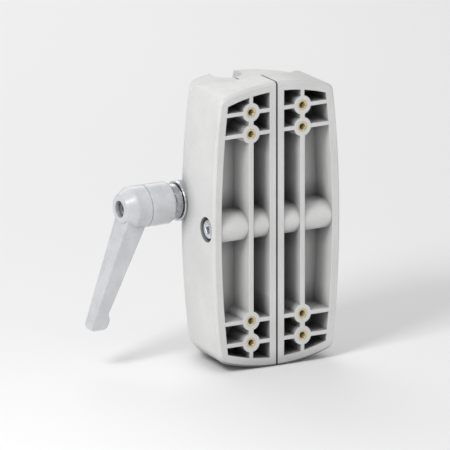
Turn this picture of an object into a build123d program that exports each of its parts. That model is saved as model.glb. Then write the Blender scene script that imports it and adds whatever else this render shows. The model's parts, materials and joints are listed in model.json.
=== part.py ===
from build123d import *
import os

# Split pole clamp with a ribbed mounting face and a ratchet clamping lever.
# Millimetres. The origin is on the pole bore's axis at mid-height, +Z runs up the pole,
# -Y points out of the mounting face and -X points out along the lever's stud.

os.makedirs("parts", exist_ok=True)

# Housing, outside
half_height = 73.5
half_width = 36.75
dome_radius = 95.0
side_radius = 560.0
front_y = -51.0
turn_y = front_y + 24.3
side_draft = 1.2
corner_radius = 4.75
heel_radius = 11.0
front_chamfer = 1.2
seam_gap = 1.0
deck_z = 66.0
step_y = front_y + 16.7
step_half_width = 16.5
step_run = 13.0

# Housing, ribbed face
rim = 4.75
seam_wall = 3.6
floor_y = front_y + 15.5
wall_draft_angle = 1.5
rib_x = 14.8
rib_thickness = 2.6
tie_thickness = 2.0
boss_levels = (48.35, 59.6)
boss_radius = 4.85
insert_radius = 2.65
insert_length = 8.0
thread_core_radius = 1.65
pilot_radius = 2.2
pilot_depth = 13.0

# Cores in the seam faces, which keep the moulding's walls even
core_front_y = -31.0
core_width = 11.0
core_height = 19.0
core_depth = 24.0
core_pitch = 24.0
core_count = 5

# Pole bore and its open mouth
bore_radius = 8.0
mouth_half_width = 4.6
spot_radius = 11.0

# Front tie bolt, M6, with end play so that the jaws can part
bolt_y = front_y + 7.9
tie_boss_radius = 7.5
root_depth = 1.0
bolt_radius = 3.0
bolt_hole_radius = 3.3
counterbore_radius = 6.5
left_counterbore_x = -29.6
right_counterbore_x = 28.6
end_play = 1.2
washer_radius = 6.0
washer_thickness = 1.4
head_radius = 5.0
head_height = 3.2
hex_key = 4.0
key_depth = 2.0
nut_across_flats = 10.0
nut_height = 6.0
nut_ring_height = 1.4
nut_ring_radius = 4.0
nut_skirt = 0.6
bolt_end_x = 36.2

# Clamping stud, M6
stud_y = -13.0
stud_z = 8.0
stud_radius = 3.0
stud_hole_radius = 3.4
running_clearance = 0.05
stud_end_x = 28.5
stud_root_x = -43.0
lever_boss_radius = 10.15
lever_boss_x = -35.4
bush_radius = 4.5
bush_end_x = -16.0
thrust_washer_thickness = 1.4
nut_floor_x = 21.8
nut_pocket_clearance = 0.1
clamp_nut_height = 5.0
recess_radius = 8.0
recess_x = 27.0

# Guide pins and opening springs
pin_level = 38.0
pin_radius = 2.5
pin_half_length = 14.0
pin_clearance = 0.08
pin_end_room = 1.0
spring_pocket_radius = 4.6
spring_pocket_depth = 5.0
opening_coil_radius = 3.6
opening_wire_radius = 0.45
opening_turns = 5

# Ratchet lever
collar_x = -36.85
collar_radius = 9.0
hub_x = -41.05
hub_radius = 10.75
hub_fillet = 2.5
groove_x = -55.5
groove_depth = 0.45
shoulder_x = -63.5
hub_end_x = -69.0
end_radius = 7.2
tooth_count = 24
tooth_tip_radius = 6.4
tooth_root_radius = 5.7
tooth_clearance = 0.15
tooth_end_x = -44.8
insert_end_x = -52.0
web_x = -54.0
web_end_x = -56.0
chamber_radius = 4.35
screw_radius = 2.45
screw_head_radius = 4.0
screw_head_x = -64.4
screw_head_height = 2.4
screw_engagement = 8.0
screw_key = 3.0
screw_key_depth = 1.5
lever_coil_radius = 3.2
lever_wire_radius = 0.4
lever_turns = 5

# Lever arm, seen along Y: it leans outward and ends in a small inward knob
arm_top_z = 8.0
arm_outline = ((-66.1, 8.0), (-88.4, -53.0), (-78.4, -53.0), (-76.3, -47.4), (-77.3, -44.6), (-53.0, 8.0))
arm_tip_z = -53.0
arm_top_half_depth = 6.5
arm_tip_half_depth = 3.5
arm_tip_fillet = 3.0
arm_corner_fillets = (3.2, 3.6, 1.5, 3.0)
arm_edge_fillet = 0.8
arm_long_edge = 40.0
end_fillet = 1.2

# Small edges
head_edge_fillet = 0.5
thread_chamfer = 0.5
washer_edge = 0.25
collar_fillet = 0.6
insert_chamfer = 0.3

bolt_plane = Plane.YZ.shift_origin((0, bolt_y, 0))
stud_plane = Plane.YZ.shift_origin((0, stud_y, stud_z))


def between(plane, start_x, radius, end_x, hole=0.0):
    """A round bar or tube along X between two stations."""
    with BuildSketch(plane.offset(start_x)) as section:
        Circle(radius)
        if hole:
            Circle(hole, mode=Mode.SUBTRACT)
    return extrude(section.sketch, amount=end_x - start_x, mode=Mode.PRIVATE)


def half_outline(y, inset, heel):
    """Left half of the front view at depth y: domed ends, bowed side, straight seam edge."""
    with BuildSketch(Plane.XZ.offset(-y)) as view:
        with Locations((0, half_height - dome_radius)):
            Circle(dome_radius)
        with Locations((0, dome_radius - half_height)):
            Circle(dome_radius, mode=Mode.INTERSECT)
        with Locations((side_radius - half_width + inset, 0)):
            Circle(side_radius, mode=Mode.INTERSECT)
        with Locations((-half_width, 0)):
            Rectangle(2 * half_width, 2 * half_height, mode=Mode.INTERSECT)
        fillet(view.vertices().sort_by(Axis.Y)[1], heel)
        fillet(view.vertices().sort_by(Axis.Y)[-2], corner_radius)
    return view.sketch


def face_cells():
    """The open cells of the mounting face, left half: inside the rim, less ribs and bosses."""
    with BuildSketch(Plane.XZ.offset(-front_y)) as cells:
        with Locations((0, half_height - dome_radius)):
            Circle(dome_radius - rim)
        with Locations((0, dome_radius - half_height)):
            Circle(dome_radius - rim, mode=Mode.INTERSECT)
        with Locations((side_radius - half_width, 0)):
            Circle(side_radius - rim, mode=Mode.INTERSECT)
        inner_x = -seam_gap / 2 - seam_wall
        with Locations((inner_x - half_width, 0)):
            Rectangle(2 * half_width, 2 * half_height, mode=Mode.INTERSECT)
        with Locations((-rib_x, 0)):
            Rectangle(rib_thickness, 2 * boss_levels[1], mode=Mode.SUBTRACT)
            Rectangle(tie_thickness, 2 * half_height, mode=Mode.SUBTRACT)
        for level in boss_levels:
            with Locations((0, level), (0, -level)):
                Rectangle(3 * half_width, tie_thickness, mode=Mode.SUBTRACT)
            with Locations((-rib_x, level), (-rib_x, -level)):
                Circle(boss_radius, mode=Mode.SUBTRACT)
    return cells.sketch


def housing_half():
    """What the two housings share, as the left one."""
    back_outline = half_outline(turn_y, side_draft, heel_radius)
    with BuildPart() as half:
        loft([half_outline(front_y, 0, corner_radius), back_outline], ruled=True)
        revolve(back_outline, axis=Axis((0, turn_y, 0), (0, 0, -1)), revolution_arc=90)
        chamfer(
            half.edges().group_by(Axis.Y)[0].filter_by(GeomType.LINE, reverse=True),
            front_chamfer,
        )
        Box(seam_gap, 4 * half_width, 4 * half_height, mode=Mode.SUBTRACT)

        # lower deck behind the domed face
        with BuildSketch(Plane.XY.offset(deck_z)):
            with BuildLine():
                Polyline(
                    (0, step_y),
                    (-step_half_width, step_y),
                    (-step_half_width - step_run, step_y + step_run),
                    (-2 * half_width, step_y + step_run),
                    (-2 * half_width, half_width),
                    (0, half_width),
                    close=True,
                )
            make_face()
        extrude(amount=half_height, mode=Mode.SUBTRACT)

        # pole bore, its mouth and a flat round its lower end
        Cylinder(bore_radius, 3 * half_height, mode=Mode.SUBTRACT)
        with Locations((0, half_width / 2, 0)):
            Box(2 * mouth_half_width, half_width, 3 * half_height, mode=Mode.SUBTRACT)
        with Locations((0, 0, -deck_z)):
            Cylinder(
                spot_radius, half_height, align=(Align.CENTER, Align.CENTER, Align.MAX), mode=Mode.SUBTRACT
            )

        # ribbed face
        extrude(face_cells(), amount=front_y - floor_y, taper=wall_draft_angle, mode=Mode.SUBTRACT)
        add(between(bolt_plane, -seam_gap / 2, tie_boss_radius, left_counterbore_x - rim))
        with BuildSketch(Plane.XZ.offset(-floor_y - root_depth)):
            with Locations((-seam_gap / 2, 0)):
                Rectangle(
                    -left_counterbore_x + rim, 2 * tie_boss_radius, align=(Align.MAX, Align.CENTER)
                )
        extrude(amount=floor_y + root_depth - bolt_y)
        for level in boss_levels:
            with Locations(Plane.XZ.offset(-front_y)):
                with Locations((-rib_x, level), (-rib_x, -level)):
                    Hole(insert_radius, insert_length)
                    Hole(pilot_radius, pilot_depth)

        # cores and spring pockets, open to the seam
        core_levels = [(index - (core_count - 1) / 2) * core_pitch for index in range(core_count)]
        with Locations([(0, core_front_y + core_width / 2, level) for level in core_levels]):
            Box(2 * core_depth, core_width, core_height, mode=Mode.SUBTRACT)
        for level in (pin_level, -pin_level):
            pin_plane = Plane.YZ.shift_origin((0, stud_y, level))
            add(between(pin_plane, 0, spring_pocket_radius, -seam_gap / 2 - spring_pocket_depth),
                mode=Mode.SUBTRACT)

        # through holes
        add(between(bolt_plane, 0, bolt_hole_radius, -half_width), mode=Mode.SUBTRACT)
    return half.part


shared_half = housing_half()

with BuildPart() as left_housing:
    add(shared_half)
    add(between(stud_plane, bush_end_x, lever_boss_radius, lever_boss_x))
    add(between(stud_plane, 0, stud_hole_radius, lever_boss_x), mode=Mode.SUBTRACT)
    add(between(stud_plane, bush_end_x, bush_radius, lever_boss_x), mode=Mode.SUBTRACT)
    add(between(bolt_plane, left_counterbore_x, counterbore_radius, -2 * half_width), mode=Mode.SUBTRACT)
    for level in (pin_level, -pin_level):
        pin_plane = Plane.YZ.shift_origin((0, stud_y, level))
        pin_hole = between(pin_plane, 0, pin_radius + pin_clearance, -pin_half_length - pin_end_room)
        add(pin_hole, mode=Mode.SUBTRACT)
left_housing.part.label = "left_housing"
export_step(left_housing.part, "parts/left_housing.step")

with BuildPart() as right_housing:
    add(mirror(shared_half, about=Plane.YZ, mode=Mode.PRIVATE))
    add(between(stud_plane, 0, stud_hole_radius, half_width), mode=Mode.SUBTRACT)
    add(between(stud_plane, recess_x, recess_radius, half_width), mode=Mode.SUBTRACT)
    with BuildSketch(stud_plane.offset(nut_floor_x)):
        RegularPolygon(nut_across_flats / 2 + nut_pocket_clearance, 6, major_radius=False)
    extrude(amount=recess_x - nut_floor_x, mode=Mode.SUBTRACT)
    add(between(bolt_plane, right_counterbore_x, counterbore_radius, 2 * half_width), mode=Mode.SUBTRACT)
    for level in (pin_level, -pin_level):
        pin_plane = Plane.YZ.shift_origin((0, stud_y, level))
        add(between(pin_plane, 0, pin_radius, pin_half_length), mode=Mode.SUBTRACT)
right_housing.part.label = "right_housing"
export_step(right_housing.part, "parts/right_housing.step")

# Threaded inserts, four in each housing, flush with the mounting face
for side, name in ((-1, "left_inserts"), (1, "right_inserts")):
    with BuildPart(Plane.XZ.offset(-front_y)) as inserts:
        for level in boss_levels:
            with Locations((side * rib_x, level), (side * rib_x, -level)):
                Cylinder(insert_radius, insert_length, align=(Align.CENTER, Align.CENTER, Align.MAX))
                Hole(thread_core_radius)
        mouths = inserts.edges().filter_by(GeomType.CIRCLE).group_by(Axis.Y)[0]
        chamfer(mouths.group_by(SortBy.RADIUS)[0], insert_chamfer)
    inserts.part.label = name
    export_step(inserts.part, f"parts/{name}.step")

# Front tie bolt and what is on it
with BuildPart() as front_bolt:
    head_x = left_counterbore_x - end_play - washer_thickness
    add(between(bolt_plane, head_x, bolt_radius, bolt_end_x))
    add(between(bolt_plane, head_x, head_radius, head_x - head_height))
    fillet(front_bolt.edges().group_by(Axis.X)[0], head_edge_fillet)
    with BuildSketch(bolt_plane.offset(head_x - head_height)):
        RegularPolygon(hex_key / 2, 6, major_radius=False)
    extrude(amount=key_depth, mode=Mode.SUBTRACT)
    chamfer(front_bolt.edges().group_by(Axis.X)[-1], thread_chamfer)
front_bolt.part.label = "front_bolt"
export_step(front_bolt.part, "parts/front_bolt.step")

with BuildPart() as front_washer_left:
    add(between(bolt_plane, head_x, washer_radius, head_x + washer_thickness, bolt_hole_radius))
    fillet(front_washer_left.edges().filter_by(GeomType.CIRCLE).sort_by(SortBy.RADIUS)[-2:], washer_edge)
front_washer_left.part.label = "front_washer_left"
export_step(front_washer_left.part, "parts/front_washer_left.step")

nut_seat_x = right_counterbore_x + washer_thickness
with BuildPart() as front_washer_right:
    add(between(bolt_plane, right_counterbore_x, washer_radius, nut_seat_x, bolt_hole_radius))
    fillet(front_washer_right.edges().filter_by(GeomType.CIRCLE).sort_by(SortBy.RADIUS)[-2:], washer_edge)
front_washer_right.part.label = "front_washer_right"
export_step(front_washer_right.part, "parts/front_washer_right.step")

with BuildPart() as front_nut:
    with BuildSketch(bolt_plane.offset(nut_seat_x)):
        RegularPolygon(nut_across_flats / 2, 6, major_radius=False)
    extrude(amount=nut_height - nut_ring_height)
    add(between(bolt_plane, nut_seat_x, nut_ring_radius + nut_skirt, nut_seat_x + nut_height))
    add(between(bolt_plane, nut_seat_x, bolt_radius, nut_seat_x + nut_height), mode=Mode.SUBTRACT)
    ring_x = nut_seat_x + nut_height - nut_ring_height
    add(between(bolt_plane, ring_x, nut_ring_radius, nut_seat_x + nut_height), mode=Mode.SUBTRACT)
front_nut.part.label = "front_nut"
export_step(front_nut.part, "parts/front_nut.step")

with BuildPart() as front_nut_ring:
    add(between(bolt_plane, ring_x, nut_ring_radius, nut_seat_x + nut_height, bolt_radius))
front_nut_ring.part.label = "front_nut_ring"
export_step(front_nut_ring.part, "parts/front_nut_ring.step")

# Guide pins, pressed into the right housing, with a spring round each
for level, place in ((pin_level, "upper"), (-pin_level, "lower")):
    pin_plane = Plane.YZ.shift_origin((0, stud_y, level))
    with BuildPart() as guide_pin:
        add(between(pin_plane, -pin_half_length, pin_radius, pin_half_length))
        chamfer(guide_pin.edges().filter_by(GeomType.CIRCLE), thread_chamfer)
    guide_pin.part.label = f"guide_pin_{place}"
    export_step(guide_pin.part, f"parts/guide_pin_{place}.step")

    spring_length = seam_gap + 2 * spring_pocket_depth - 2 * opening_wire_radius
    with BuildPart() as opening_spring:
        with BuildLine() as coil:
            Helix(spring_length / opening_turns, spring_length, opening_coil_radius,
                  center=(-spring_length / 2, stud_y, level), direction=(1, 0, 0))
        with BuildSketch(Plane(coil.line @ 0, z_dir=coil.line % 0)):
            Circle(opening_wire_radius)
        sweep(is_frenet=True)
    opening_spring.part.label = f"opening_spring_{place}"
    export_step(opening_spring.part, f"parts/opening_spring_{place}.step")

# Clamping stud, its captive nut, and the bush and washer that it passes
with BuildPart() as clamp_stud:
    add(between(stud_plane, stud_root_x, stud_radius, stud_end_x))
    chamfer(clamp_stud.edges().filter_by(GeomType.CIRCLE), thread_chamfer)
clamp_stud.part.label = "clamp_stud"
export_step(clamp_stud.part, "parts/clamp_stud.step")

with BuildPart() as clamp_nut:
    with BuildSketch(stud_plane.offset(nut_floor_x)):
        RegularPolygon(nut_across_flats / 2, 6, major_radius=False)
        Circle(stud_radius + running_clearance, mode=Mode.SUBTRACT)
    extrude(amount=clamp_nut_height)
clamp_nut.part.label = "clamp_nut"
export_step(clamp_nut.part, "parts/clamp_nut.step")

with BuildPart() as stud_bush:
    add(between(stud_plane, bush_end_x, bush_radius, lever_boss_x, stud_radius + running_clearance))
stud_bush.part.label = "stud_bush"
export_step(stud_bush.part, "parts/stud_bush.step")

with BuildPart() as thrust_washer:
    washer_end_x = lever_boss_x - thrust_washer_thickness
    add(between(stud_plane, lever_boss_x, lever_boss_radius, washer_end_x, stud_radius + running_clearance))
    fillet(thrust_washer.edges().filter_by(GeomType.CIRCLE).sort_by(SortBy.RADIUS)[-2:], washer_edge)
thrust_washer.part.label = "thrust_washer"
export_step(thrust_washer.part, "parts/thrust_washer.step")


def toothed(tip, root):
    """Ratchet teeth as a closed outline round the stud's axis."""
    step = 360 / (4 * tooth_count)
    radii = (root, tip, tip, root)
    points = []
    for index in range(4 * tooth_count):
        point = Vector(radii[index % 4], 0, 0).rotate(Axis.Z, index * step)
        points.append((point.X, point.Y))
    with BuildSketch(stud_plane.offset(hub_x)) as teeth:
        with BuildLine():
            Polyline(*points, close=True)
        make_face()
    return teeth.sketch


with BuildPart() as toothed_insert:
    add(between(stud_plane, collar_x, collar_radius, hub_x))
    extrude(toothed(tooth_tip_radius, tooth_root_radius), amount=tooth_end_x - hub_x)
    add(between(stud_plane, tooth_end_x, tooth_root_radius, insert_end_x))
    chamfer(toothed_insert.edges().group_by(Axis.X)[0], thread_chamfer)
    add(between(stud_plane, collar_x, stud_radius, stud_root_x), mode=Mode.SUBTRACT)
    add(between(stud_plane, stud_root_x, screw_radius, insert_end_x), mode=Mode.SUBTRACT)
    fillet(toothed_insert.edges().filter_by(GeomType.CIRCLE).sort_by(SortBy.RADIUS)[-2:], collar_fillet)
toothed_insert.part.label = "toothed_insert"
export_step(toothed_insert.part, "parts/toothed_insert.step")

with BuildPart() as retaining_screw:
    add(between(stud_plane, insert_end_x + screw_engagement, screw_radius, screw_head_x))
    add(between(stud_plane, screw_head_x, screw_head_radius, screw_head_x - screw_head_height))
    fillet(retaining_screw.edges().group_by(Axis.X)[0], head_edge_fillet)
    with BuildSketch(stud_plane.offset(screw_head_x - screw_head_height)):
        RegularPolygon(screw_key / 2, 6, major_radius=False)
    extrude(amount=screw_key_depth, mode=Mode.SUBTRACT)
retaining_screw.part.label = "retaining_screw"
export_step(retaining_screw.part, "parts/retaining_screw.step")

with BuildPart() as lever_spring:
    spring_start_x = screw_head_x + lever_wire_radius
    spring_length = web_end_x - lever_wire_radius - spring_start_x
    with BuildLine() as coil:
        Helix(spring_length / lever_turns, spring_length, lever_coil_radius,
              center=(spring_start_x, stud_y, stud_z), direction=(1, 0, 0))
    with BuildSketch(Plane(coil.line @ 0, z_dir=coil.line % 0)):
        Circle(lever_wire_radius)
    sweep(is_frenet=True)
lever_spring.part.label = "lever_spring"
export_step(lever_spring.part, "parts/lever_spring.step")

# Lever handle: a turned hub, a faceted arm, and the toothed bore, web and screw recess inside
with BuildPart() as arm:
    with BuildSketch(Plane.XZ.offset(-stud_y - arm_top_half_depth)) as side_view:
        with BuildLine():
            Polyline(*arm_outline, close=True)
        make_face()
        for corner, radius in zip(arm_outline[1:5], arm_corner_fillets):
            fillet(side_view.vertices().sort_by_distance(corner)[0], radius)
    extrude(amount=2 * arm_top_half_depth)
    with BuildSketch(Plane.YZ.offset(2 * hub_end_x)) as end_view:
        with BuildLine():
            Polyline(
                (stud_y - arm_top_half_depth, arm_top_z),
                (stud_y + arm_top_half_depth, arm_top_z),
                (stud_y + arm_tip_half_depth, arm_tip_z),
                (stud_y - arm_tip_half_depth, arm_tip_z),
                close=True,
            )
        make_face()
        fillet(end_view.vertices().group_by(Axis.Y)[0], arm_tip_fillet)
    extrude(amount=-2 * hub_end_x, mode=Mode.INTERSECT)
    fillet(arm.edges().filter_by(lambda edge: edge.length > arm_long_edge), arm_edge_fillet)

with BuildPart() as lever_handle:
    with BuildSketch(Plane.XZ.offset(-stud_y)) as hub_section:
        with BuildLine():
            Polyline(
                (hub_x, stud_z),
                (hub_x, stud_z + hub_radius),
                (groove_x + groove_depth, stud_z + hub_radius),
                (groove_x, stud_z + hub_radius - groove_depth),
                (groove_x - groove_depth, stud_z + hub_radius),
                (shoulder_x, stud_z + hub_radius),
                (hub_end_x, stud_z + end_radius),
                (hub_end_x, stud_z),
                close=True,
            )
        make_face()
        fillet(hub_section.vertices().sort_by_distance((hub_x, stud_z + hub_radius))[0], hub_fillet)
        fillet(hub_section.vertices().sort_by_distance((shoulder_x, stud_z + hub_radius))[0], hub_fillet)
        fillet(hub_section.vertices().sort_by_distance((hub_end_x, stud_z + end_radius))[0], end_fillet)
    revolve(axis=Axis((0, stud_y, stud_z), (1, 0, 0)))
    add(arm.part)
    extrude(toothed(tooth_tip_radius + tooth_clearance, tooth_root_radius + tooth_clearance),
            amount=tooth_end_x - hub_x, mode=Mode.SUBTRACT)
    add(between(stud_plane, tooth_end_x, tooth_tip_radius + tooth_clearance, web_x), mode=Mode.SUBTRACT)
    add(between(stud_plane, web_x, screw_radius + tooth_clearance, web_end_x), mode=Mode.SUBTRACT)
    add(between(stud_plane, web_end_x, chamber_radius, 2 * hub_end_x), mode=Mode.SUBTRACT)
lever_handle.part.label = "lever_handle"
export_step(lever_handle.part, "parts/lever_handle.step")
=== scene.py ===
import json
from math import cos, pi, radians, sin, tau

import bmesh
import bpy
from mathutils import Matrix, Vector


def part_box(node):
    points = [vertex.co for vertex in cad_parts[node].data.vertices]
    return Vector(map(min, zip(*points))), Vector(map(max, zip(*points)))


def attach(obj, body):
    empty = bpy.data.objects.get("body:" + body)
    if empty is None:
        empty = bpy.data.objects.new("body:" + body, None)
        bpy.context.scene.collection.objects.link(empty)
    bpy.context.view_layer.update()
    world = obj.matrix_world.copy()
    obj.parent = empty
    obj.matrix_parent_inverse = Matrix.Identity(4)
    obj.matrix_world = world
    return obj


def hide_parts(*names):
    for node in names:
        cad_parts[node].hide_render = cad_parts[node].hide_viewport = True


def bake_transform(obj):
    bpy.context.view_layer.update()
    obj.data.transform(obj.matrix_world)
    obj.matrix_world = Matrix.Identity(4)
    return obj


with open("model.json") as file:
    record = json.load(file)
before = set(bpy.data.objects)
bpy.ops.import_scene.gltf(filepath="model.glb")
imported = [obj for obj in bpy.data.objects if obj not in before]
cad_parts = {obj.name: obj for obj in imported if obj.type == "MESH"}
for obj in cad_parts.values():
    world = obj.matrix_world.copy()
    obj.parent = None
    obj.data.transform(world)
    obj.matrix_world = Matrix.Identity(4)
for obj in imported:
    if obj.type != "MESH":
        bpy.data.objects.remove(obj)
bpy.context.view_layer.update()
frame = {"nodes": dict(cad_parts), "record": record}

MM = 0.001

FACE_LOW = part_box("left_housing")[0]


# Camera, floor and lights

AZIMUTH = radians(-30)
ELEVATION = radians(15)
VIEW_WIDTH = 0.225
VIEW_DISTANCE = 0.8
AIM_RIGHT = -0.026
AIM_UP = -0.00055
FAR_CLIP = 10
FLOOR_HALF = 4.0
FLOOR_COLOR = (0.95, 0.95, 0.95)
WORLD_STRENGTH = 0.5


def make_camera():
    back = Vector((sin(AZIMUTH) * cos(ELEVATION), -cos(AZIMUTH) * cos(ELEVATION), sin(ELEVATION)))
    turn = (-back).to_track_quat("-Z", "Y")
    face_centre = Vector((0, FACE_LOW.y, 0))
    aim = face_centre + turn @ Vector((AIM_RIGHT, AIM_UP, 0))
    data = bpy.data.cameras.new("camera")
    data.type = "ORTHO"
    data.ortho_scale = VIEW_WIDTH
    data.clip_end = FAR_CLIP
    camera = bpy.data.objects.new("camera", data)
    camera.rotation_mode = "QUATERNION"
    camera.rotation_quaternion = turn
    camera.location = aim + back * VIEW_DISTANCE
    bpy.context.collection.objects.link(camera)
    bpy.context.scene.camera = camera


def area_light(name, place, size, power):
    data = bpy.data.lights.new(name, "AREA")
    data.size = size
    data.energy = power
    light = bpy.data.objects.new(name, data)
    light.location = place
    light.rotation_mode = "QUATERNION"
    light.rotation_quaternion = (-Vector(place)).to_track_quat("-Z", "Y")
    bpy.context.collection.objects.link(light)


def make_studio():
    world = bpy.data.worlds.new("studio")
    world.use_nodes = True
    world.node_tree.nodes["Background"].inputs["Color"].default_value = (1, 1, 1, 1)
    world.node_tree.nodes["Background"].inputs["Strength"].default_value = WORLD_STRENGTH
    bpy.context.scene.world = world
    bpy.context.scene.view_settings.view_transform = "Standard"

    area_light("key", (-0.65, -0.3, 0.6), 0.3, 4.1)
    area_light("fill", (0.5, -0.9, 0.3), 0.9, 1.0)
    area_light("rim", (0.2, 0.8, 0.6), 0.7, 2.4)

    half = FLOOR_HALF
    mesh = bpy.data.meshes.new("floor")
    corners = [(-half, -half, 0), (half, -half, 0), (half, half, 0), (-half, half, 0)]
    mesh.from_pydata(corners, [], [(0, 1, 2, 3)])
    floor = bpy.data.objects.new("floor", mesh)
    floor.location.z = FACE_LOW.z
    bpy.context.collection.objects.link(floor)
    mesh.materials.append(Shading("floor", FLOOR_COLOR, 0.85).material)


# Materials


class Shading:
    """A Principled material with the few node patterns that this object's finishes need."""

    def __init__(self, name, color, roughness, metallic=0.0):
        self.material = bpy.data.materials.new(name)
        self.material.use_nodes = True
        self.nodes = self.material.node_tree.nodes
        self.links = self.material.node_tree.links
        self.shader = self.nodes["Principled BSDF"]
        self.shader.inputs["Base Color"].default_value = (*color, 1)
        self.shader.inputs["Roughness"].default_value = roughness
        self.shader.inputs["Metallic"].default_value = metallic
        self.place = self.nodes.new("ShaderNodeTexCoord").outputs["Object"]

    def node(self, kind, **values):
        made = self.nodes.new(kind)
        for name, value in values.items():
            socket = made.inputs[name.replace("_", " ")]
            if hasattr(value, "is_output"):
                self.links.new(value, socket)
            else:
                socket.default_value = value
        return made

    def noise(self, grain, detail=2.0):
        """Noise whose features are about grain metres across."""
        made = self.node("ShaderNodeTexNoise", Vector=self.place, Scale=1 / grain, Detail=detail)
        return made.outputs["Fac"]

    def ranged(self, value, low, high, from_low=0.35, from_high=0.65):
        made = self.node("ShaderNodeMapRange", Value=value)
        made.inputs["From Min"].default_value = from_low
        made.inputs["From Max"].default_value = from_high
        made.inputs["To Min"].default_value = low
        made.inputs["To Max"].default_value = high
        return made.outputs["Result"]

    def mixed(self, factor, first, second):
        made = self.nodes.new("ShaderNodeMix")
        made.data_type = "RGBA"
        self.links.new(factor, made.inputs["Factor"])
        for socket, value in ((made.inputs[6], first), (made.inputs[7], second)):
            if hasattr(value, "is_output"):
                self.links.new(value, socket)
            else:
                socket.default_value = (*value, 1)
        return made.outputs[2]

    def painted_corner_shade(self, reach):
        """Mask for painted shade, from an ambient occlusion node: 0 in the open, 1 deep in a corner."""
        made = self.nodes.new("ShaderNodeAmbientOcclusion")
        made.samples = 8
        made.inputs["Distance"].default_value = reach
        return self.ranged(made.outputs["AO"], 1.0, 0.0, 0.15, 0.95)

    def edge(self, radius):
        """The rounded normal, and a mask that is 1 on an edge narrower than radius."""
        bevel = self.nodes.new("ShaderNodeBevel")
        bevel.samples = 6
        bevel.inputs["Radius"].default_value = radius
        flat = self.nodes.new("ShaderNodeNewGeometry").outputs["Normal"]
        dot = self.nodes.new("ShaderNodeVectorMath")
        dot.operation = "DOT_PRODUCT"
        self.links.new(bevel.outputs["Normal"], dot.inputs[0])
        self.links.new(flat, dot.inputs[1])
        return bevel.outputs["Normal"], self.ranged(dot.outputs["Value"], 1.0, 0.0, 0.86, 0.99)

    def bump(self, height, depth, normal=None, strength=1.0):
        made = self.node("ShaderNodeBump", Height=height, Distance=depth, Strength=strength)
        if normal:
            self.links.new(normal, made.inputs["Normal"])
        return made.outputs["Normal"]

    def set(self, name, output):
        self.links.new(output, self.shader.inputs[name])


def moulded_plastic():
    """Pale glass-filled nylon: spark-eroded grain, faint flow marks, rubbed edges, and painted shade
    that darkens its corners.
    """
    look = Shading("moulded_plastic", (0.74, 0.74, 0.73), 0.5)
    rounded, edge = look.edge(0.5 * MM)
    flow = look.ranged(look.noise(22 * MM, 4), 0, 1)
    body = look.mixed(flow, (0.69, 0.69, 0.68), (0.76, 0.76, 0.755))
    fleck = look.ranged(look.noise(0.6 * MM, 2), 0, 0.35)
    flecked = look.mixed(fleck, body, (0.58, 0.58, 0.575))
    worn = look.mixed(edge, flecked, (0.9, 0.9, 0.895))
    # Painted shade: near-black mixed into the colour in corners and recesses, reaching 11 mm.
    look.set("Base Color", look.mixed(look.painted_corner_shade(11 * MM), worn, (0.1, 0.1, 0.105)))
    look.set("Roughness", look.ranged(look.noise(3 * MM, 3), 0.4, 0.6))
    look.set("Normal", look.bump(look.noise(0.8 * MM, 4), 0.09 * MM, rounded, 0.9))
    look.shader.inputs["Specular IOR Level"].default_value = 0.45
    return look.material


def powder_coat():
    """Satin powder coat over die-cast zinc, with its orange peel and lighter, thinner edges."""
    look = Shading("powder_coat", (0.62, 0.63, 0.65), 0.34)
    rounded, edge = look.edge(0.45 * MM)
    tone = look.ranged(look.noise(9 * MM, 3), 0, 1)
    body = look.mixed(tone, (0.57, 0.58, 0.6), (0.65, 0.66, 0.68))
    worn = look.mixed(edge, body, (0.82, 0.83, 0.85))
    # Painted shade: near-black mixed into the colour in corners and recesses, reaching 4 mm.
    look.set("Base Color", look.mixed(look.painted_corner_shade(4 * MM), worn, (0.08, 0.08, 0.085)))
    look.set("Roughness", look.ranged(look.noise(1.5 * MM, 2), 0.26, 0.42))
    look.set("Normal", look.bump(look.noise(1.1 * MM, 2), 0.1 * MM, rounded, 0.8))
    look.shader.inputs["Coat Weight"].default_value = 0.3
    look.shader.inputs["Coat Roughness"].default_value = 0.18
    return look.material


def plated_metal(name, light, dark, roughness, lathe_mark):
    """Turned and plated metal: fine marks across the X axis, and cloudy plating."""
    look = Shading(name, light, roughness, 1.0)
    rounded, edge = look.edge(0.2 * MM)
    cloud = look.ranged(look.noise(2.5 * MM, 4), 0, 1)
    body = look.mixed(cloud, light, dark)
    bright = tuple(min(1.0, 1.15 * part) for part in light)
    worn = look.mixed(edge, body, bright)
    # Painted shade: near-black mixed into the colour in corners and recesses, reaching 1.5 mm.
    look.set("Base Color", look.mixed(look.painted_corner_shade(1.5 * MM), worn, (0.08, 0.08, 0.08)))
    look.set("Roughness", look.ranged(look.noise(0.9 * MM, 3), roughness - 0.08, roughness + 0.1))
    stretch = look.nodes.new("ShaderNodeMapping")
    stretch.inputs["Scale"].default_value = (1.0, 0.04, 0.04)
    look.links.new(look.place, stretch.inputs["Vector"])
    stretched = stretch.outputs["Vector"]
    marks = look.node("ShaderNodeTexNoise", Vector=stretched, Scale=1 / lathe_mark, Detail=2.0)
    look.set("Normal", look.bump(marks.outputs["Fac"], 0.01 * MM, rounded, 0.5))
    return look.material


def natural_nylon():
    """The lock nut's ring: waxy, slightly see-through."""
    look = Shading("natural_nylon", (0.85, 0.85, 0.8), 0.4)
    tone = look.ranged(look.noise(2 * MM, 3), 0, 1)
    look.set("Base Color", look.mixed(tone, (0.86, 0.86, 0.8), (0.78, 0.79, 0.74)))
    look.set("Normal", look.bump(look.noise(0.3 * MM), 0.02 * MM))
    look.shader.inputs["Subsurface Weight"].default_value = 0.2
    look.shader.inputs["Subsurface Scale"].default_value = 1 * MM
    return look.material


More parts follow.
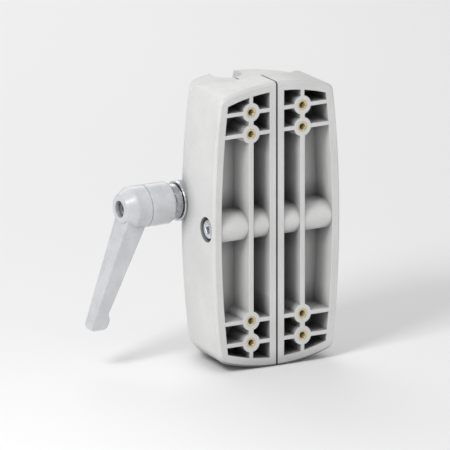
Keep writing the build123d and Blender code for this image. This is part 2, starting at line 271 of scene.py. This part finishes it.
def make_materials():
    return {
        "housing": moulded_plastic(),
        "lever_coat": powder_coat(),
        "zinc_steel": plated_metal("zinc_steel", (0.78, 0.79, 0.82), (0.66, 0.68, 0.73), 0.3, 0.25 * MM),
        "hard_steel": plated_metal("hard_steel", (0.56, 0.57, 0.59), (0.46, 0.47, 0.49), 0.26, 0.2 * MM),
        "spring_steel": plated_metal("spring_steel", (0.6, 0.6, 0.62), (0.5, 0.5, 0.52), 0.24, 0.3 * MM),
        "brass": plated_metal("brass", (0.8, 0.66, 0.4), (0.68, 0.54, 0.31), 0.3, 0.2 * MM),
        "nylon_ring": natural_nylon(),
    }


def dress_cad(materials):
    """Every carried-over CAD node takes the finish of its slot."""
    for part in frame["record"]["subparts"]:
        node = frame["nodes"][part["node"]]
        node.data.materials.clear()
        node.data.materials.append(materials[part["material_slot"]])


# Turned pieces with threads and knurls. A thread's depth is a share of its pitch.

PITCH_M6 = 1.0 * MM
PITCH_M4 = 0.7 * MM
THREAD_DEPTH = 0.6
STATIONS_PER_PITCH = 8
SEGMENTS = 96
SHARP_ANGLE = 32


def hexagon(across_flats):
    """Radius of a hexagonal hole at an angle."""
    return lambda angle: across_flats / 2 / cos((angle + pi / 6) % (pi / 3) - pi / 6)


def threaded(radius, pitch, distance):
    """Radius of a thread's flanks at an angle, for the section at a distance along it."""
    def at(angle):
        phase = (distance / pitch - angle / tau) % 1.0
        return radius - THREAD_DEPTH * pitch * abs(2 * phase - 1)
    return at


def knurled(radius, depth, teeth):
    """Radius of a straight knurl at an angle."""
    return lambda angle: radius - depth * abs(2 * ((teeth * angle / tau) % 1.0) - 1)


def thread_run(start, end, radius, pitch):
    """Stations along a thread, with its first and last crests cut down to a cone."""
    count = round(abs(end - start) / pitch * STATIONS_PER_PITCH)
    stations = []
    for index in range(count + 1):
        distance = start + (end - start) * index / count
        to_end = min(index, count - index) / STATIONS_PER_PITCH * pitch
        crest = min(radius, radius - THREAD_DEPTH * pitch + to_end)
        cut = threaded(radius, pitch, distance)
        stations.append((distance, lambda angle, cut=cut, crest=crest: min(cut(angle), crest)))
    return stations


def turned(stations, place, ring=False):
    """A closed turned solid from (distance, radius) stations along its axis, in place.
    A radius may depend on the angle. Without ring, its first and last stations are capped."""
    vertices = []
    for distance, radius in stations:
        for index in range(SEGMENTS):
            angle = tau * index / SEGMENTS
            size = radius(angle) if callable(radius) else radius
            vertices.append(place @ Vector((size * cos(angle), size * sin(angle), distance)))
    rows = len(stations)
    faces = []
    for row in range(rows if ring else rows - 1):
        near, far = row * SEGMENTS, (row + 1) % rows * SEGMENTS
        for index in range(SEGMENTS):
            turn = (index + 1) % SEGMENTS
            faces.append((near + index, near + turn, far + turn, far + index))
    if not ring:
        faces.append(tuple(range(SEGMENTS))[::-1])
        faces.append(tuple((rows - 1) * SEGMENTS + index for index in range(SEGMENTS)))
    return vertices, faces


def piece(name, solids, material_slot, node):
    """One object from closed solids, which stands for a CAD node."""
    mesh = bpy.data.meshes.new(name)
    vertices, faces = [], []
    for part_vertices, part_faces in solids:
        offset = len(vertices)
        vertices += part_vertices
        faces += [tuple(index + offset for index in face) for face in part_faces]
    mesh.from_pydata(vertices, [], faces)
    mesh.materials.append(materials[material_slot])
    mesh.update()
    mesh.shade_smooth()
    mesh.set_sharp_from_angle(angle=radians(SHARP_ANGLE))
    made = bpy.data.objects.new(name, mesh)
    bpy.context.collection.objects.link(made)
    recalculate_normals(mesh)
    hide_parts(node)
    return made


def recalculate_normals(mesh):
    work = bmesh.new()
    work.from_mesh(mesh)
    bmesh.ops.recalc_face_normals(work, faces=work.faces)
    work.to_mesh(mesh)
    work.free()


def along_x(low, high):
    """The frame of an axis along +X through the middle of a node's box, starting at its low end."""
    middle = (low + high) / 2
    return Matrix.Translation((low.x, middle.y, middle.z)) @ Matrix.Rotation(pi / 2, 4, "Y")


def make_stud():
    """Stud threaded at both ends, with a plain shank between them."""
    low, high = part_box("clamp_stud")
    length = high.x - low.x
    radius = (high.z - low.z) / 2
    shank_start, shank_end = length * 0.2, length * 0.62
    run_out = 0.4 * MM
    stations = (
        thread_run(0, shank_start, radius, PITCH_M6)
        + [(shank_start + run_out, radius), (shank_end - run_out, radius)]
        + thread_run(shank_end, length, radius, PITCH_M6)
    )
    solid = turned(stations, along_x(low, high))
    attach(piece("clamp_stud_threaded", [solid], "zinc_steel", "clamp_stud"), "stud")


def make_front_bolt():
    """Low socket-head bolt: knurled head with a rounded rim and a hexagonal socket, threaded end."""
    low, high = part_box("front_bolt")
    length = high.x - low.x
    head_radius = (high.z - low.z) / 2
    head_height, shank_radius = 3.2 * MM, 3.0 * MM
    socket, socket_depth, socket_chamfer = 4.0 * MM, 2.0 * MM, 0.25 * MM
    drill_point, point_radius = 0.5 * MM, 0.1 * MM
    knurl_depth, knurl_teeth = 0.22 * MM, 48
    thread_start = length - 20 * MM
    knurl = knurled(head_radius, knurl_depth, knurl_teeth)
    inside_socket = [
        (socket_depth + drill_point, point_radius),
        (socket_depth, hexagon(socket)),
        (socket_chamfer, hexagon(socket)),
        (0, hexagon(socket + 0.4 * MM)),
    ]
    rounded_rim = [
        (0, head_radius - 0.9 * MM),
        (0.12 * MM, head_radius - 0.5 * MM),
        (0.45 * MM, head_radius - 0.12 * MM),
    ]
    knurled_side = [
        (0.7 * MM, knurl),
        (head_height - 0.5 * MM, knurl),
        (head_height - 0.3 * MM, head_radius - knurl_depth),
        (head_height, head_radius - 0.4 * MM),
    ]
    shank = [
        (head_height, shank_radius),
        (thread_start - 0.5 * MM, shank_radius),
    ]
    thread = thread_run(thread_start, length, shank_radius, PITCH_M6)
    solid = turned(inside_socket + rounded_rim + knurled_side + shank + thread, along_x(low, high))
    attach(piece("front_bolt_knurled", [solid], "zinc_steel", "front_bolt"), "right_half")


def make_inserts(side, body):
    """Knurled brass inserts with an M4 thread, one in each boss of a half."""
    low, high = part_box(f"{side}_inserts")
    radius = (high.x - low.x) / 2
    length = high.y - low.y
    bore = 2.0 * MM
    lead_in, lead_in_length = 0.15 * MM, 0.35 * MM
    groove_depth = 0.3 * MM
    collar = 0.8 * MM
    knurl_depth, knurl_teeth = 0.25 * MM, 24
    boss_step = 11.25 * MM
    knurl = knurled(radius, knurl_depth, knurl_teeth)
    threaded_bore = thread_run(lead_in_length, length - lead_in_length, bore, PITCH_M4)
    outside = [
        (length, radius - 0.2 * MM),
        (length - 0.3 * MM, knurl),
        (length * 0.6, knurl),
        (length * 0.55, radius - groove_depth),
        (length * 0.45, radius - groove_depth),
        (length * 0.4, knurl),
        (collar + 0.1 * MM, knurl),
        (collar, radius),
        (0.12 * MM, radius),
        (0, radius - 0.12 * MM),
    ]
    stations = [(0, bore + lead_in)] + threaded_bore + [(length, bore + lead_in)] + outside
    centre_x = (low.x + high.x) / 2
    top = high.z - radius
    solids = []
    for level in (top, top - boss_step, boss_step - top, -top):
        place = Matrix.Translation((centre_x, low.y, level)) @ Matrix.Rotation(-pi / 2, 4, "X")
        solids.append(turned(stations, place, ring=True))
    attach(piece(f"{side}_inserts_threaded", solids, "brass", f"{side}_inserts"), body)


# Springs

WIRE_SIDES = 10
STEPS_PER_TURN = 28


def coil(low, high, wire, turns):
    """A compression spring along X that fills a node's box, with its end turns closed.
    The end turns take one wire's width each, and the open turns share what is left."""
    radius = (high.z - low.z) / 2 - wire
    centre = (low + high) / 2
    width = 2 * wire
    open_pitch = (high.x - low.x - 3 * width) / (turns - 2)
    steps = turns * STEPS_PER_TURN
    vertices, faces = [], []
    for step in range(steps + 1):
        turn = step / STEPS_PER_TURN
        closed = min(turn, 1) + max(turn - (turns - 1), 0)
        opened = min(max(turn - 1, 0), turns - 2)
        along = low.x + wire + width * closed + open_pitch * opened
        for side in range(WIRE_SIDES):
            roll = tau * side / WIRE_SIDES
            out = radius + wire * cos(roll)
            vertices.append(Vector((
                along + wire * sin(roll),
                centre.y + out * cos(tau * turn),
                centre.z + out * sin(tau * turn),
            )))
    for step in range(steps):
        near, far = step * WIRE_SIDES, (step + 1) * WIRE_SIDES
        for side in range(WIRE_SIDES):
            turn = (side + 1) % WIRE_SIDES
            faces.append((near + side, near + turn, far + turn, far + side))
    faces.append(tuple(range(WIRE_SIDES))[::-1])
    faces.append(tuple(steps * WIRE_SIDES + side for side in range(WIRE_SIDES)))
    return vertices, faces


def make_spring(node, wire, turns):
    """A coil in the box of the node that it stands for, the spring that pushes two bodies apart."""
    low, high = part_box(node)
    made = piece(f"{node}_coil", [coil(low, high, wire, turns)], "spring_steel", node)
    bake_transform(made)


make_camera()
make_studio()
materials = make_materials()
dress_cad(materials)
make_stud()
make_front_bolt()
make_inserts("left", "left_half")
make_inserts("right", "right_half")
for spring in ("opening_spring_upper", "opening_spring_lower"):
    make_spring(spring, 0.45 * MM, 7)
make_spring("lever_spring", 0.4 * MM, 5)
